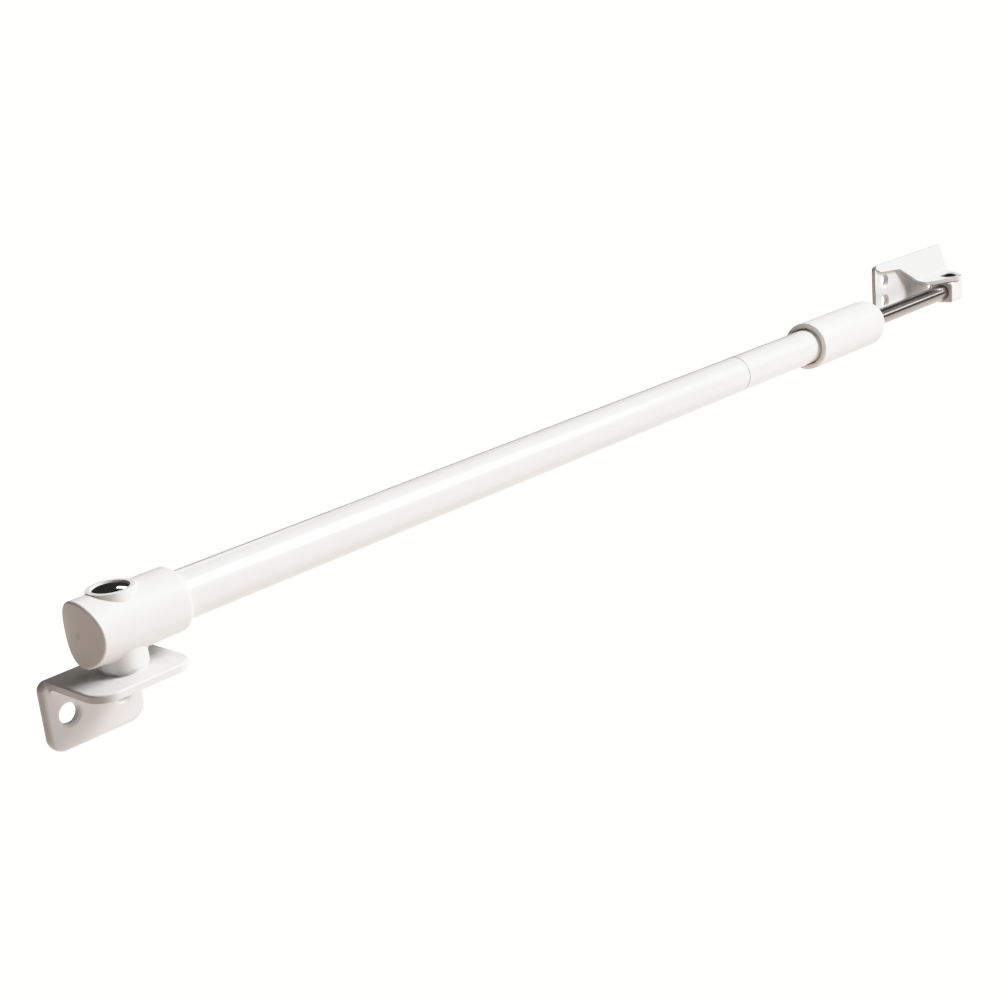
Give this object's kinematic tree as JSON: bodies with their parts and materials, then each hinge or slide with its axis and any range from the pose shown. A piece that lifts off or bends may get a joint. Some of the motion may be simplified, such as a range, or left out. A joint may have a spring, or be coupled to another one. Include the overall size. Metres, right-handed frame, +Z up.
{
  "type": "telescopic window stay",
  "caption": "White telescopic window stay: tube with a hinge head on a shelf bracket, twist-lock grip, polished sliding rod and hooded sash bracket.",
  "frame": {"origin": "centre of the frame bracket's two screw holes, on the face that lies against the window frame", "axes": "+X along the rod towards the sash bracket, +Y into the window frame, +Z up"},
  "size_m": [0.5676, 0.0287, 0.0608],
  "materials": {
    "white_paint": "white gloss coat",
    "white_plastic": "white moulded, satin gloss",
    "cream_plastic": "cream moulded",
    "chrome_cap": "polished chrome",
    "polished_steel": "ground and polished",
    "steel": "zinc plated",
    "dark_steel": "dark polished",
    "brass": "turned"
  },
  "bodies": {
    "frame": {"frame_bracket": "white_paint", "frame_pin": "steel", "frame_thrust_washer": "white_plastic", "frame_pin_washer": "steel", "frame_pin_clip": "steel"},
    "tube": {"hinge_head": "white_plastic", "head_cap": "chrome_cap", "outer_tube": "white_paint", "clamp_body": "white_paint", "guide_bush": "cream_plastic", "collet": "cream_plastic"},
    "grip": {"grip_sleeve": "white_plastic", "mouth_ring": "cream_plastic", "sleeve_nut": "brass"},
    "rod": {"rod": "polished_steel", "piston": "cream_plastic", "piston_screw": "steel", "end_block": "white_plastic"},
    "sash": {"sash_bracket": "white_paint", "sash_pin": "dark_steel", "sash_washer": "cream_plastic", "sash_pin_clip": "steel"}
  },
  "joints": [
    {"name": "frame_pivot", "type": "hinge", "parent": "frame", "child": "tube", "pos_m": [0.0037, -0.015, 0.0274], "axis": [0, 0, 1], "range_deg": [-180, 0]},
    {"name": "grip_twist", "type": "hinge", "parent": "tube", "child": "grip", "pos_m": [0.4217, -0.015, 0.0274], "axis": [1, 0, 0], "range_deg": [0, 180]},
    {"name": "rod_slide", "type": "slide", "parent": "tube", "child": "rod", "axis": [1, 0, 0], "range_m": [-0.06, 0.21]},
    {"name": "sash_pivot", "type": "hinge", "parent": "rod", "child": "sash", "pos_m": [0.5375, -0.015, 0.0274], "axis": [0, 0, 1], "range_deg": [-150, 0]}
  ]
}
